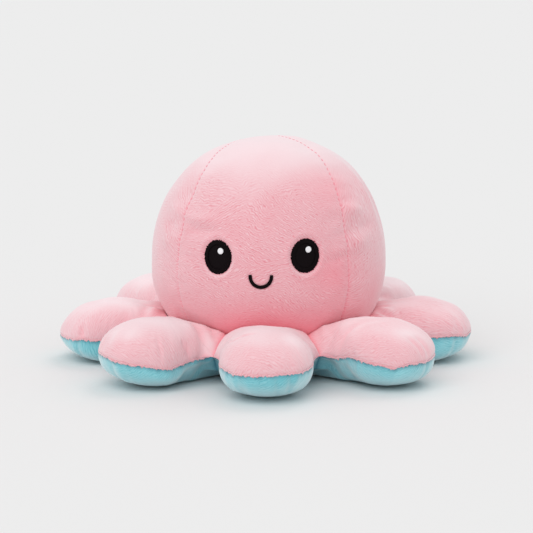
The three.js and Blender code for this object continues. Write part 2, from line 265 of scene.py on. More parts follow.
def plush(name, look):  # short brushed pile
    finish = Finish(name)
    place = finish.node("ShaderNodeUVMap", {"uv_map": "fabric"}, {})
    brushed = place
    for size, reach in (("flowSize", "flowReach"), ("waverSize", "waverReach")):
        values = {"Vector": place, "Scale": 1 / pile[size], "Detail": 0.0}
        flow = finish.vector("SUBTRACT", finish.node("ShaderNodeTexNoise", {}, values, 1), (0.5, 0.5, 0.5))
        brushed = finish.vector("ADD", brushed, finish.vector("MULTIPLY", flow, (2 * pile[reach],) * 3))
    where = finish.noise(finish.vector("ADD", place, (31.0, 0.0, 0.0)), 1 / pile["crossSize"], 1.0)
    first, full = pile["crossShare"]
    where = finish.node("ShaderNodeMapRange", {}, {"Value": where, "From Min": first, "From Max": full})
    ripples = strokes(finish, brushed, 0) * (1 - where) + strokes(finish, brushed, pile["crossing"]) * where
    ripples = ripples + (finish.noise(place, 1 / pile["speckleSize"], 1.0) - 0.5) * pile["speckle"]
    uneven = finish.noise(place, 1 / pile["patchSize"], 2.0) - 0.5
    sleekAndPaintedHighlight = finish.attribute("sleekAndPaintedHighlight")
    ripples = ripples * (1 - pile["smoothing"] * sleekAndPaintedHighlight)
    mix = 0.5 + ripples * look["contrast"] + uneven * look["patchiness"]
    tint = finish.between(mix, look["low"], look["high"])
    facing = finish.node("ShaderNodeLayerWeight", {}, {"Blend": 0.5}, 1)
    # painted highlight: paler toward the rim colour where the pile is marked as lying smooth
    tint = finish.between(sleekAndPaintedHighlight * look["paintedHighlightStrength"], tint, look["rim"])
    # painted sheen: paler toward the rim colour where the surface turns away from the camera
    tint = finish.between(facing ** pile["paintedSheenPower"] * look["paintedSheenStrength"], tint, look["rim"])
    # painted shade: toward the shade colour where the mesh marks painted shade
    tint = finish.between(finish.attribute("paintedShade"), tint, look["deep"])
    bump = finish.node(
        "ShaderNodeBump", {}, {"Strength": 1.0, "Distance": pile["depth"] * millimetre, "Height": ripples}
    )
    return finish.surface({
        "Base Color": tint,
        "Roughness": 0.9,
        "Specular IOR Level": 0.12,
        "Sheen Weight": 0.2,
        "Sheen Roughness": 0.45,
        "Sheen Tint": look["rim"],
        "Normal": bump,
    })


thread = {"fibres": 2.6, "fibreDepth": 0.1, "lighter": 1.5}  # fibres to a millimetre


def threadFinish(name, base, sheen):
    finish = Finish(name)
    place = finish.node("ShaderNodeTexCoord", {}, {}, 3)
    fibres = finish.noise(place, thread["fibres"] / millimetre, 2.0)
    light = tuple(min(1.0, c * thread["lighter"] + 0.004) for c in base[:3]) + (1.0,)
    tint = finish.between(fibres, base, light)
    depth = thread["fibreDepth"] * millimetre
    bump = finish.node("ShaderNodeBump", {}, {"Strength": 0.4, "Distance": depth, "Height": fibres})
    return finish.surface({
        "Base Color": tint,
        "Roughness": 0.6,
        "Specular IOR Level": 0.06,
        "Sheen Weight": sheen,
        "Sheen Roughness": 0.3,
        "Normal": bump,
    })


pinkPlush = plush("pinkPlush", {
    "low": colour(229, 146, 157),
    "high": colour(242, 199, 205),
    "deep": colour(252, 136, 152),  # the colour of painted shade in creases and recesses, along seams and low on the head
    "rim": colour(245, 233, 236),  # the pale colour of painted sheen toward the outline and of painted highlight where the pile lies smooth; also the tint of the sheen
    "paintedSheenStrength": 0.7,
    "paintedHighlightStrength": 0.55,
    "contrast": 0.62,
    "patchiness": 0.3,
})
bluePlush = plush("bluePlush", {
    "low": colour(97, 184, 196),
    "high": colour(156, 221, 230),
    # painted shade and the pale colour of painted sheen, as for the pink
    "deep": colour(62, 118, 136),
    "rim": colour(236, 247, 249),
    "paintedSheenStrength": 0.85,
    "paintedHighlightStrength": 0.0,
    "contrast": 0.4,
    "patchiness": 1.0,
})
blackThread = threadFinish("blackThread", colour(8, 2, 4), 0.0)
whiteThread = threadFinish("whiteThread", colour(226, 226, 232), 0.1)
pinkThread = threadFinish("pinkThread", colour(230, 150, 161), 0.0)
print("finishes made")


# Head

head = {
    "radius": 56.5,
    "waist": 47.0,  # height of the widest level
    "top": 108.3,
    "depth": 50.0,  # how far the lower half would reach below the widest level
    "roundness": 2.17,  # exponent of the upper curve: 2 is an ellipse
    "floor": 14.0,
    "turn": -3.7,  # degrees that the head is twisted on the ring
    "lean": 1.05,  # how far the head leans aside, and its crown further
    "crownLean": 1.0,
    "crownBack": 18.0,  # how far behind the top of the head its four seams meet
    "crownAside": -6.0,
    "crownReach": 76.0,
    "lumpDepth": 0.45,
    "lumpSize": 30.0,
    "fineLumps": (0.4, 2.6),  # share of that depth, and how many times smaller
    "seamDepth": 0.2,
    "seamWidth": 0.9,
    "seamLine": 0.5,  # half the width of the line of painted shade along a seam
    "sewnFrom": (0.5, 4.0),  # where a seam starts and is at its full depth, from the crown
    "puffedFrom": (6.0, 20.0),  # the same for what swells and creases beside it
    "pitDepth": 0.17,  # each stitch pulls a small pit in the seam
    "pitLength": 0.6,
    "pitWidth": 0.75,
    "puffDepth": 0.45,  # the panels swell between the seams
    "puffWidth": 8.0,
    "pinchDepth": 0.42,  # creases that run off the seams
    "pinchReach": 12.0,
    "pinchSize": (14.0, 5.0, 1.0),
    "pinchLevel": (75.0, 16.0),  # where they are deepest, and half how far that reaches
    "gatherDepth": 0.7,  # small pleats where the neck is drawn in
    "gatherSize": (6.5, 6.5, 26.0),
    "gatherSpan": (16.0, 27.0),
    "paintedShadeSpan": (22.0, 44.0),  # painted shade low on the head, most of all in front
    "sleekSpan": (82.0, 107.0),  # the pile lies smooth, and is painted paler as painted highlight, towards the top
    "pileDepth": 0.03,
    "brushing": (30, -41, 10, 30),  # degrees that the pile of each panel is brushed aside
    "coarseness": (1.0, 1.35, 1.15, 1.25),  # of the pile of each panel
    "cell": 0.37,
    "crowding": 0.35,  # how much denser the mesh is by the seams
}
headBulges = [  # degrees from the middle of the face, height, half size across and down, how proud
    (54, 77.5, 6.5, 3.6, 1.8),
    (53, 62.5, 6.5, 3.6, 1.5),
    (61, 69.5, 7.0, 2.8, -1.2),
    (52, 104.0, 6.0, 4.0, -0.5),
    (40, 60.5, 5.0, 2.6, 0.6),
    (38, 56.5, 5.0, 2.2, -0.6),
    (-34, 74.5, 10.0, 2.8, 1.4),
    (-31, 69.0, 9.0, 2.6, -1.1),
    (-53, 63.0, 7.0, 3.4, 1.3),
    (-55, 70.0, 6.0, 2.8, -1.1),
    (-52, 77.0, 7.0, 3.0, 1.1),
    (-50, 84.5, 6.0, 3.6, -0.7),
    (-49, 28.0, 3.0, 3.0, -0.7),
    (76, 84.0, 3.4, 16.0, 0.8),
    (86, 80.0, 3.0, 18.0, -0.6),
    (60, 101.5, 14.0, 9.0, 0.7),
    (0, 108.2, 30.0, 10.0, -0.8),
    (130, 107.2, 9.0, 9.0, 0.8),
    (128, 74.0, 8.0, 4.0, 0.8),
    (139, 62.0, 8.0, 4.0, 0.8),
    (-128, 68.0, 8.0, 4.0, 0.8),
    (-141, 80.0, 8.0, 4.0, 0.7),
]
# the same for patches of painted shade, or of painted light where the last number is below 0
headPaintedShade = [
    (36, 49.0, 13.0, 11.0, 0.42),
    (66, 40.0, 14.0, 12.0, 0.2),
    (-66, 38.0, 14.0, 10.0, 0.1),
    (46, 88.0, 16.0, 12.0, 0.24),
    (-32, 27.0, 13.0, 8.0, -0.22),
]
headTurn = math.radians(head["turn"])
panelNames = ["front", "right", "back", "left"]


def headProfile():  # radius, height and lean of the head along a meridian, by distance from the crown
    power = 2 / head["roundness"]
    rise = head["top"] - head["waist"]
    low = math.asin((head["waist"] - head["floor"]) / head["depth"])
    turn = np.linspace(0, 1, 4001)[1:] ** 1.5 * math.pi / 2
    under = np.linspace(0, low, 2001)[1:]
    radius = np.concatenate([head["radius"] * np.sin(turn) ** power, head["radius"] * np.cos(under)])
    height = np.concatenate([
        head["waist"] + rise * np.maximum(np.cos(turn), 0) ** power,
        head["waist"] - head["depth"] * np.sin(under),
    ])
    dr, dz = np.gradient(radius), np.gradient(height)
    arc = np.concatenate([[radius[0]], radius[0] + np.cumsum(np.hypot(np.diff(radius), np.diff(height)))])
    return {"arc": arc, "radius": radius, "height": height, "lean": np.arctan2(dr, -dz)}


meridian = headProfile()


def headAt(arc):
    return [np.interp(arc, meridian["arc"], meridian[key]) for key in ("radius", "height", "lean")]


def arcAt(level):
    return float(np.interp(-level, -meridian["height"], meridian["arc"]))


stitch = {
    "pitch": 2.3,
    "length": 1.0,
    "radius": 0.14,
    "start": 3.2,  # distance from the crown
    "runIn": 2.0,
    "end": 26.0,  # height
    "sunk": 0.06,
    "fade": (46.0, 64.0),  # heights between which the pile hides the seam at the left of the face
    "buried": 0.2,  # how much deeper its stitches lie there
    "topFade": (78.0, 98.0),  # heights between which the line of every seam fades
}

face = {
    "eyeWidth": 13.5,
    "eyeHeight": 15.5,
    "eyeLevel": 58.8,
    "eyeTilt": 0.52,  # one eye is this much above the middle level and the other below
    "eyeSpacing": 41.4,
    "smileRadius": 4.85,
    "smileLevel": 50.2,  # of the ends of the smile
    "pull": 0.75,  # how far the stitching draws the fabric in
    "eyeSwell": 0.22,  # how far the fabric swells round it
    "smileSwell": 0.1,
}


eyeArc = arcAt(face["eyeLevel"])
smileArc = arcAt(face["smileLevel"])


def fromEye(angle, arc):  # 1 on the edge of the nearer eye, in the fabric
    radius = headAt(arc)[0]
    across = np.abs(angle) * radius - face["eyeSpacing"] / 2
    down = arc - eyeArc + np.sign(angle) * face["eyeTilt"]
    return np.hypot(across / (face["eyeWidth"] / 2), down / (face["eyeHeight"] / 2))


def fromSmile(angle, arc):  # distance from the line of the smile
    radius = headAt(arc)[0]
    across = angle * radius
    down = arc - smileArc
    ring = np.abs(np.hypot(across, down) - face["smileRadius"])
    ends = np.hypot(np.abs(across) - face["smileRadius"], down)
    return np.where(down > 0, ring, ends)


def onForm(angle, arc):  # where the fabric lies on the plain form
    sideReach = 0.77 * head["crownReach"]
    across = arc * np.sin(angle) + head["crownAside"] * (1 - step(arc, 0, sideReach))
    ahead = arc * np.cos(angle) - head["crownBack"] * (1 - step(arc, 0, head["crownReach"]))
    return np.arctan2(across, ahead), np.hypot(across, ahead)


def patches(rows, turn, gone, radius):  # the sum of soft round patches on the head
    total = 0
    for aside, level, across, down, proud in rows:
        gap = (turn - math.radians(aside) + math.pi) % (2 * math.pi) - math.pi
        total = total + proud * bell(gap * radius, across) * bell(gone - arcAt(level), down)
    return total


def lumpy(points, depth, size, fine, seeds):  # two sizes of lumps in the stuffing
    share, finer = fine
    return depth * noise(points, size, seeds[0]) + share * depth * noise(points, size / finer, seeds[1])


def creasesAt(angle, arc, seam, height):  # creases that run off the seams
    around = np.where(angle > 1.5 * math.pi, angle - 2 * math.pi, angle) * headAt(arc)[0]
    level, spread = head["pinchLevel"]
    pinch = noise(flat(around, arc), head["pinchSize"], 8) * bell(seam, head["pinchReach"])
    pinch = pinch * (1 - 0.6 * bell(seam, 1.5)) * (0.7 + 1.1 * bell(height - level, spread))
    return head["pinchDepth"] * pinch


def gathersAt(angle, arc, height):  # pleats round the neck
    neck = head["radius"] * np.stack([np.sin(angle), np.cos(angle)], -1)
    gather = noise(np.concatenate([neck, arc[..., None]], -1), head["gatherSize"], 12)
    return gather * (1 - step(height, *head["gatherSpan"]))


def facePull(eye, smile):  # how far the embroidery draws the fabric in
    atEye = face["pull"] * (1 - step(eye, 0.96, 1.28)) - face["eyeSwell"] * bell(eye - 1.33, 0.14)
    return atEye + 0.5 * face["pull"] * bell(smile, 1.1) - face["smileSwell"] * bell(smile - 2.2, 0.9)


def headRelief(angle, arc):  # how far the fabric stands off the plain form, how much painted shade it takes and how smooth it is
    turn, gone = onForm(angle, arc)
    radius, height, _ = headAt(gone)
    places = np.stack([radius * np.sin(turn), -radius * np.cos(turn), height], -1)
    fromCrown = headAt(arc)[0]
    quarter = math.pi / 2
    seam = np.abs((angle - quarter / 2) % quarter)
    seam = np.minimum(seam, quarter - seam) * fromCrown
    sewn = step(fromCrown, *head["sewnFrom"])
    puffed = step(fromCrown, *head["puffedFrom"])
    between = stitch["pitch"] / 2
    pits = bell((arc - stitch["start"] + between) % stitch["pitch"] - between, head["pitLength"])
    begun = step(arc, stitch["start"] - stitch["runIn"], stitch["start"])
    eye = fromEye(angle, arc)
    smile = fromSmile(angle, arc)

    relief = lumpy(places, head["lumpDepth"], head["lumpSize"], head["fineLumps"], (3, 4))
    relief = relief + patches(headBulges, turn, gone, radius)
    relief = relief - head["seamDepth"] * bell(seam, head["seamWidth"]) * sewn
    relief = relief - head["pitDepth"] * bell(seam, head["pitWidth"]) * pits * begun
    relief = relief - head["puffDepth"] * bell(seam, head["puffWidth"]) * puffed
    relief = relief + creasesAt(angle, arc, seam, height) * puffed
    gather = gathersAt(angle, arc, height)
    relief = relief + head["gatherDepth"] * gather - facePull(eye, smile)

    atLeft = step(-np.sin(turn), 0.0, 0.4) * step(np.cos(turn), 0.0, 0.4)
    buried = atLeft * (1 - step(height, *stitch["fade"]))
    shown = (1 - 0.5 * step(height, *stitch["topFade"])) * (1 - 0.9 * buried)
    # painted shade along the seams and in the stitch pits, in the pleats round the neck, in the listed
    # patches (painted light where negative), round the eyes and the smile, and low on the head, most of all
    # in front
    paintedShade = (0.08 + 0.3 * pits) * shown * bell(seam, head["seamLine"]) * sewn
    paintedShade = paintedShade + 0.35 * np.clip(-gather, 0, 1) + patches(headPaintedShade, turn, gone, radius)
    paintedShade = paintedShade + 0.3 * bell(eye - 1.02, 0.06) + 0.3 * bell(smile, 1.0)
    inFront = (0.5 + 0.5 * np.cos(angle)) ** 4
    paintedShade = paintedShade + (1 - step(height, *head["paintedShadeSpan"])) * (0.15 + 0.55 * inFront)
    smooth = (1 - bell(seam, head["seamLine"])) * step(eye, 0.95, 1.06) * step(smile, 0.5, 1.3)
    return relief, np.clip(paintedShade, 0, 1), smooth


def sleekness(points, low, high):  # where the pile lies smooth and takes painted highlight, by height
    return step(points[..., 2] + 5.0 * noise(points, 16.0, 33), low, high)


def patternPlace(angle, arc):  # places in the flat pattern of a panel, from its middle line
    radius, height, _ = headAt(arc)
    rise = np.where(height > head["waist"], head["top"] - head["waist"], head["depth"])
    places = np.stack([
        radius * np.sin(angle), radius * np.cos(angle), (height - head["waist"]) * head["radius"] / rise,
    ], -1)
    places = places / np.linalg.norm(places, axis=-1, keepdims=True)
    return head["radius"] * places[..., 0], head["radius"] * np.arctan2(places[..., 1], places[..., 2])


def brushedPlace(u, v, degrees):  # turns fabric coordinates, to set which way the pile lies
    c, s = math.cos(math.radians(degrees)), math.sin(math.radians(degrees))
    return c * u + s * v, c * v - s * u


def brushedPile(u, v, depth, seed):  # tufts of the pile, longer the way it is brushed
    tufts = noise(flat(u, v), (2.4, 1.0, 1.0), seed) + 0.5 * noise(flat(u, v), 1.6, seed + 1)
    return depth * tufts


def headPoints(angle, arc, lift=0.0):  # on the finished fabric, lifted off it
    turn, gone = onForm(angle, arc)
    radius, height, lean = headAt(gone)
    relief = headRelief(angle, arc)[0] + lift
    out = radius + relief * np.cos(lean)
    up = height + relief * np.sin(lean)
    points = turned(np.stack([out * np.sin(turn), -out * np.cos(turn), up], -1), headTurn)
    points[..., 0] += head["lean"] + head["crownLean"] * step(points[..., 2], 70, 106)
    return points


def makeHeadPanel(number):
    middle = number * math.pi / 2
    columns = int(fineness * head["radius"] * math.pi / 2 / head["cell"])
    rows = int(fineness * (meridian["arc"][-1]) / head["cell"])
    share = np.linspace(-1, 1, columns)
    share = share + head["crowding"] * np.sin(math.pi * share) / math.pi
    along = np.linspace(meridian["arc"][0], meridian["arc"][-1], rows)
    arc, angle = np.meshgrid(along, middle + share * math.pi / 4, indexing="ij")
    u, v = brushedPlace(*patternPlace(angle - middle, arc), head["brushing"][number])
    _, paintedShade, smooth = headRelief(angle, arc)
    tufts = smooth * brushedPile(u, v, head["pileDepth"], 40 + 7 * number)
    points = headPoints(angle, arc, tufts)
    # painted highlight: a pale crescent under each eye, and the upper face paler
    underEye = bell(fromEye(angle, arc) - 1.14, 0.07) * step(arc - eyeArc, 0.0, 6.0)
    sleekAndPaintedHighlight = sleekness(points, *head["sleekSpan"]) + 0.12 * step(points[..., 2], 66, 86) + 0.5 * underEye
    name = panelNames[number]
    panel = meshFrom(
        f"head_{name}", points, gridFaces(rows, columns, flip=True), pinkPlush,
        np.stack([u + 200 * number, v], -1) / head["coarseness"][number],
        {"paintedShade": paintedShade, "sleekAndPaintedHighlight": sleekAndPaintedHighlight},
    )
    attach(panel, "head")
    dress(panel, "pink_plush", f"head_panel_{name}")
    return panel


panels = [makeHeadPanel(number) for number in range(4)]
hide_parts("head_filling")
print("head made")


# Legs and ring

ring = {
    "notchReach": 63.5,
    "neckReach": 43.0,
    "neckHeight": 13.5,
    "valleyLow": 13.3,  # height of the crease between two legs at the notch
    "valleyHigh": 22.0,
    "valleyEnd": 48.0,  # distance from the middle at which it is that high
    "creaseLow": 5.8,  # height of the crease underneath, a little in from the notch
    "creaseFall": 4.2,  # how much lower it is at its inner end
    "mouthReach": 17.6,
    "mouthLift": 3.2,
    "headRoom": 0.55,  # between the legs and the head above them
    "webLift": 7.6,  # of the underside between the legs off the floor
    "webAside": (12.5, 20.0),  # distances from a leg's middle line between which it rises
    "webInner": (36.0, 54.0),
    "webOuter": (66.0, 78.0),
    "floorGap": 0.15,
    "warp": 0.8,  # slow unevenness that neighbouring pieces share
    "warpSize": 15.0,
}

leg = {
    "tipRadius": 21.3,
    "tipCentre": 78.7,
    "sideRun": 24.0,  # how stiffly its side leaves the tip and arrives at the notch
    "notchRun": 15.0,
    "crown": 70.0,
    "roundness": 2.15,
    "topLine": [(43, 23.0), (50, 25.8), (55, 27.2), (60, 28.4), (65, 29.4), (70, 30.1), (78, 30.4)],
    "seamWave": 0.6,
    "lumpDepth": 0.4,
    "lumpSize": 20.0,
    "fineLumps": (0.45, 2.5),
    "foldDepth": 0.35,  # folds beside the creases between the legs
    "foldSize": (4.5, 15.0, 1.0),
    "soleFolds": 0.35,  # how deep they are underneath, as a share
    "puckerDepth": 0.5,  # gathers along the seam
    "puckerSize": 3.4,
    "puckerPatch": 14.0,  # they come and go over this distance
    "puckerReach": 6.0,
    "tuck": 0.25,  # how far the seam is drawn in
    "lipOut": 0.3,  # the pile of the pink side hangs over the blue in tufts
    "lipDown": 0.95,
    "pileDepth": 0.05,
    "stretch": 1.5,  # the ripples of the pile are this much longer than on the head
    "coarseness": 1.2,
    "softening": 0.13,  # how far round a leg the corners of its outline are softened on top, in radians
    "sleekSpan": (23.0, 33.0),
    "ringRun": 40.0,  # length over the swelling that the rings of the mesh share
    "cell": 0.42,
}
plainShape = {
    "lift": 0.0,  # how much the top is raised
    "seam": 13.8,  # height of the seam, or heights by degrees round the tip
    "fill": 2.15,  # exponents of the swelling: 2 is an ellipse
    "shoulder": 0.85,  # of the top beside the creases
    "flank": 0.7,  # how much fuller the top is there
    "sole": 2.3,
    "rock": 0.0,  # how much fuller the sole is on one side
    "point": 0.0,  # how much less full it is at the tip
    "brushing": 0,  # degrees that the pile is brushed aside
    "besideHeadShade": 0.1,  # how much painted shade it takes beside the head
    "longer": 0.0,
}
legShapes = {
    "front": {
        "lift": -0.3, "seam": 14.5, "fill": 2.05, "sole": 2.4, "rock": 0.12, "shoulder": 1.4, "flank": 0.3,
        "brushing": 27,
    },
    "front_right": {
        "lift": 0.1, "sole": 2.7, "rock": 0.5, "brushing": 70,
        "seam": [
            (-110, 15.9), (-80, 15.2), (-60, 14.7), (-45, 14.0), (-28, 12.6), (-10, 13.4), (10, 14.3),
            (40, 14.4),
        ],
    },
    "right": {"lift": -0.6, "seam": 14.4, "sole": 4.0, "point": 1.7, "brushing": 90, "besideHeadShade": 0.3},
    "back_right": {"lift": -0.4, "fill": 3.2, "longer": 2.0},
    "back": {"lift": 0.4, "brushing": 20},
    "back_left": {"lift": 1.8, "fill": 2.4, "longer": 2.5},
    "left": {"lift": -1.3, "seam": 12.5, "sole": 4.0, "point": 1.7, "brushing": 40, "besideHeadShade": 0.3},
    "front_left": {
        "lift": -0.2, "sole": 2.4, "rock": 0.4,
        "seam": [
            (-90, 15.0), (-45, 16.0), (0, 16.0), (15, 15.2), (28, 13.2), (45, 11.8), (60, 10.8), (85, 13.0),
            (110, 13.2),
        ],
    },
}
# folds by leg: places along and aside where each starts and ends, half its width and how proud it is
legFolds = {
    "front": [((67, -19), (78, -15), 0.8, -0.6), ((78, -15), (80.5, -6), 0.8, -0.6)],
    "front_left": [
        ((56.5, 9), (60.5, 21), 2.7, -1.1), ((62, 10), (65.5, 20), 3.0, 0.9), ((49, 12), (53, 19), 2.0, -0.6),
        ((90, -3), (98.7, 2.5), 2.4, 0.6), ((94, -10), (99, -6), 1.8, -0.5),
        ((73, 18.5), (70.5, 20.8), 1.3, -0.8), ((84, 15), (86, 19), 1.0, -0.4),
    ],
    "front_right": [
        ((51, -14), (57.5, -19), 2.0, 1.2), ((63, -11), (62.5, -20), 2.6, 1.1),
        ((68, -12), (67, -20), 2.2, -0.9), ((94, -3.5), (99.8, 0.2), 1.5, -0.9),
        ((94.5, 1.5), (99.3, 5.2), 1.5, -0.9), ((84, -15), (88, -18.5), 1.2, -0.4),
    ],
    "right": [
        ((54, -10.5), (60, -12.8), 1.5, 0.9), ((54.5, -13), (60.5, -16.2), 1.3, -0.9),
        ((52.5, -14.8), (58, -17.8), 1.4, 0.9), ((52, -6), (59, -8), 1.6, -0.7),
        ((90, -14), (93, -17), 1.4, -0.4),
    ],
    "left": [
        ((58, 6), (59.5, 16), 2.2, -0.9), ((53.2, 7), (54.8, 15), 2.2, 0.8),
        ((49.5, 8), (50, 15), 1.6, -0.5), ((88.6, 17), (87.2, 20.5), 1.1, -1.0),
        ((66, 15), (70, 19), 2.6, -0.6), ((52, 1), (60, 3), 1.6, -0.6),
    ],
    "back_left": [
        ((54, 8), (66, 12), 2.0, -0.9), ((53, -10), (62, -14), 2.0, -0.8), ((95, -4), (97, 4), 1.1, -0.6),
    ],
    "back_right": [
        ((60, -15.5), (69, -18.5), 1.3, -1.0), ((64, -12), (72, -16), 1.4, 0.6),
        ((53, 10), (62, 14), 2.0, -0.8), ((94, 5), (96, 12), 1.1, -0.6),
    ],
    "back": [
        ((53, 11), (64, 15), 2.0, -0.9), ((52, -9), (61, -13), 2.0, -0.8), ((95, -9), (97, 0), 1.1, -0.6),
    ],
}
soleFolds = {  # the same for the blue side
    "front": [
        ((102, 5.5), (92, 4.8), 1.5, -0.4), ((99, 11), (92, 10), 1.4, -0.5),
        ((97, -12), (88, -9), 2.0, -0.4), ((92, -18), (84, -14), 2.0, 0.3),
    ],
    "front_left": [
        ((102, 1), (92, 0.5), 1.5, -0.4), ((101, 5.5), (92, 4.5), 2.0, 0.3),
        ((72, 22), (70, 13), 2.2, -0.6), ((65, 22), (64, 13), 2.2, 0.4),
    ],
    "front_right": [
        ((101, 3), (92, 2.5), 1.5, -0.4), ((66, -22), (66, -13), 2.4, 0.4), ((72, -22), (71, -13), 2.0, -0.4),
    ],
    "right": [((92, -20), (86, -13), 1.6, -0.4)],
    "left": [((92, 20), (86, 13), 1.6, -0.4)],
}
# painted highlights by leg, where the pile also lies flatter, with painted shade where the last number is
# below 0: places along and aside, half the width and how pale
legPaintedLight = {
    "front": [
        ((84, 8), (87, 17), 5.0, 0.4), ((62, -21), (79, -14), 2.4, 0.3), ((54, -21), (62, -23), 5.0, 0.5),
    ],
    "front_left": [
        ((92, -6), (97, -1), 2.2, 0.5), ((54, 19), (62, 22), 5.0, 0.6), ((58, 0), (86, 0), 14.0, 0.16),
    ],
    "front_right": [
        ((68, -17), (77, -2), 2.0, 0.5), ((90, -5), (96.5, 9), 4.0, 0.6), ((58, 0), (86, 0), 14.0, -0.2),
    ],
    "right": [((84, -6), (92, -12), 3.0, 0.4), ((60, 0), (84, 0), 10.0, -0.6)],
    "left": [((62, 2), (90, 4), 9.0, 0.75)],
    "back_left": [((60, 0), (90, 0), 16.0, 0.8)],
    "back_right": [((56, 0), (90, 0), 20.0, 1.4)],
    "back": [((80, -8), (88, 2), 2.5, 0.7)],
}

legNames = ["front", "front_right", "right", "back_right", "back", "back_left", "left", "front_left"]
half = math.pi / len(legNames)  # angle from a leg's middle line to the crease beside it


def curved(start, heading, end, arriving, count):  # a smooth line from start to end
    t = np.linspace(0, 1, count)[:, None]
    a, b = np.array(start), np.array(end)
    da, db = np.array(heading), np.array(arriving)
    return (
        (2 * t ** 3 - 3 * t ** 2 + 1) * a + (t ** 3 - 2 * t ** 2 + t) * da
        + (3 * t ** 2 - 2 * t ** 3) * b + (t ** 3 - t ** 2) * db
    )


def halfOutline(inner):  # from the tip round one side of a leg to the middle of its inner edge
    turn = np.linspace(0, math.pi / 2, 60)[:, None]
    tip = np.hstack([leg["tipCentre"] + leg["tipRadius"] * np.cos(turn), leg["tipRadius"] * np.sin(turn)])
    along = np.array([math.cos(half), math.sin(half)])
    square = np.array([-math.sin(half), math.cos(half)])
    notch = ring["notchReach"] * along
    side = curved(tip[-1], (-leg["sideRun"], 0.0), notch, leg["notchRun"] * square, 60)
    border = np.linspace(ring["notchReach"], inner, 60)[:, None] * along
    turn = np.linspace(half, 0, 30)[:, None]
    root = inner * np.hstack([np.cos(turn), np.sin(turn)])
    pieces = [tip, side, border, root]
    line = np.vstack([tip[:1]] + [piece[1:] for piece in pieces])
    angle = np.arctan2(line[:, 1], line[:, 0] - leg["crown"])
    reach = np.hypot(line[:, 1], line[:, 0] - leg["crown"])
    corners = [angle[len(tip) + len(side) - 2], angle[len(tip) + len(side) + len(border) - 3]]
    return angle, reach, corners


def turnsOf(turn):  # brings angles between minus and plus half a turn
    return (turn + math.pi) % (2 * math.pi) - math.pi


def legGrid(inner):  # rays from the crown of the leg to its outline
    angle, reach, (notch, corner) = halfOutline(inner)
    lengths = (62.0, 26.0 if inner > 30 else 48.0, 16.0)  # of the outline's side, border and root
    counts = [int(fineness * length / leg["cell"]) for length in lengths]
    stops = [0, notch, corner, math.pi]
    turn = np.concatenate([
        np.linspace(stops[k], stops[k + 1], counts[k], endpoint=False) for k in range(3)
    ] + [[math.pi]])
    turn = np.concatenate([turn, -turn[-2:0:-1]])
    shifts = np.linspace(-2.5, 2.5, 41) * leg["softening"]
    places = np.abs(turnsOf(turn[:, None] + shifts))
    soft = np.average(np.interp(places, angle, reach), axis=1, weights=bell(shifts, leg["softening"]))
    reach = np.interp(np.abs(turnsOf(turn)), angle, reach)
    rings = int(fineness * leg["ringRun"] / leg["cell"])
    return turn, reach, soft, np.linspace(0, math.pi / 2, rings + 1)[1:], notch, corner


def underHead(points):  # height of the head's plain underside above each point
    reach = np.hypot(points[..., 0] - head["lean"], points[..., 1])
    inside = np.clip(1 - (reach / head["radius"]) ** 2, 0, 1)
    return reach, head["waist"] - head["depth"] * np.sqrt(inside)


def roundTip(turn, reach, aside):  # places round a leg's tip, for noise
    return flat(reach * np.cos(turn) + aside, reach * np.sin(turn))


def seamLevel(turn, number, shape):  # height of the pink and blue seam round a leg
    place = roundTip(turn, 20, 90 * number)
    away = np.abs(turn)
    wave = leg["seamWave"] * (noise(place, 11.0, 21) + 0.6 * noise(place, 4.0, 22))
    toNotch = step(away, 1.25, 1.95)
    wave = wave + 0.35 * noise(place, 1.6, 23)
    level = shape["seam"]
    if not np.isscalar(level):
        level = np.interp(np.degrees(np.arctan2(np.sin(turn), np.cos(turn))), *np.transpose(level))
    level = wave + level
    return level * (1 - toNotch) + ring["valleyLow"] * toNotch + 0.6 * bell(away - 1.2, 0.5)


def folded(s, v, folds):  # relief of the folds, or the strength of the painted highlight streaks, that are named for a leg
    relief = 0
    for (s0, v0), (s1, v1), width, proud in folds:
        length = math.hypot(s1 - s0, v1 - v0)
        along = ((s - s0) * (s1 - s0) + (v - v0) * (v1 - v0)) / length
        across = ((s - s0) * (v1 - v0) - (v - v0) * (s1 - s0)) / length
        ends = step(along, -0.4 * length, 0.3 * length) * (1 - step(along, 0.7 * length, 1.4 * length))
        relief = relief + proud * bell(across, width) * ends
    return relief


def sharedWarp(points):  # moves neighbouring pieces alike, so that their edges still meet
    shift = np.stack([noise(points, ring["warpSize"], 101 + k) for k in range(3)], -1)
    reach = np.hypot(points[..., 0], points[..., 1])
    free = step(points[..., 2], 0.5, 9.0) * step(reach, ring["mouthReach"] + 2, 40.0)
    return points + ring["warp"] * shift * free[..., None]


def makeLip(edge, number):  # tufts of pink pile that hang over the blue along the seam
    along = np.gradient(edge, axis=0)
    out = np.cross(along, [0, 0, 1.0])
    out = out / np.linalg.norm(out, axis=1, keepdims=True)
    gone = np.concatenate([[0], np.cumsum(np.linalg.norm(np.diff(edge, axis=0), axis=1))])
    place = flat(gone + 300 * number, 0 * gone)
    tufts = 0.5 + 0.5 * noise(place, 3.6, 24) + 0.7 * noise(place, 1.6, 25) + 0.8 * noise(place, 0.9, 26)
    tufts = np.clip(tufts, 0.0, 1.8)[:, None]
    ends = (step(gone, 0, 4) * (1 - step(gone, gone[-1] - 4, gone[-1])))[:, None]
    down = np.array([0, 0, -1.0])
    rows = [
        edge - 0.1 * out, edge + 0.8 * leg["lipOut"] * out - 0.15 * down * ends,
        edge + leg["lipOut"] * out + 0.1 * down,
        edge + leg["lipOut"] * out + (0.2 + leg["lipDown"] * tufts) * down * ends,
        edge + (0.2 + 0.9 * leg["lipDown"] * tufts) * down * ends - 0.15 * out,
    ]
    return np.stack(rows)


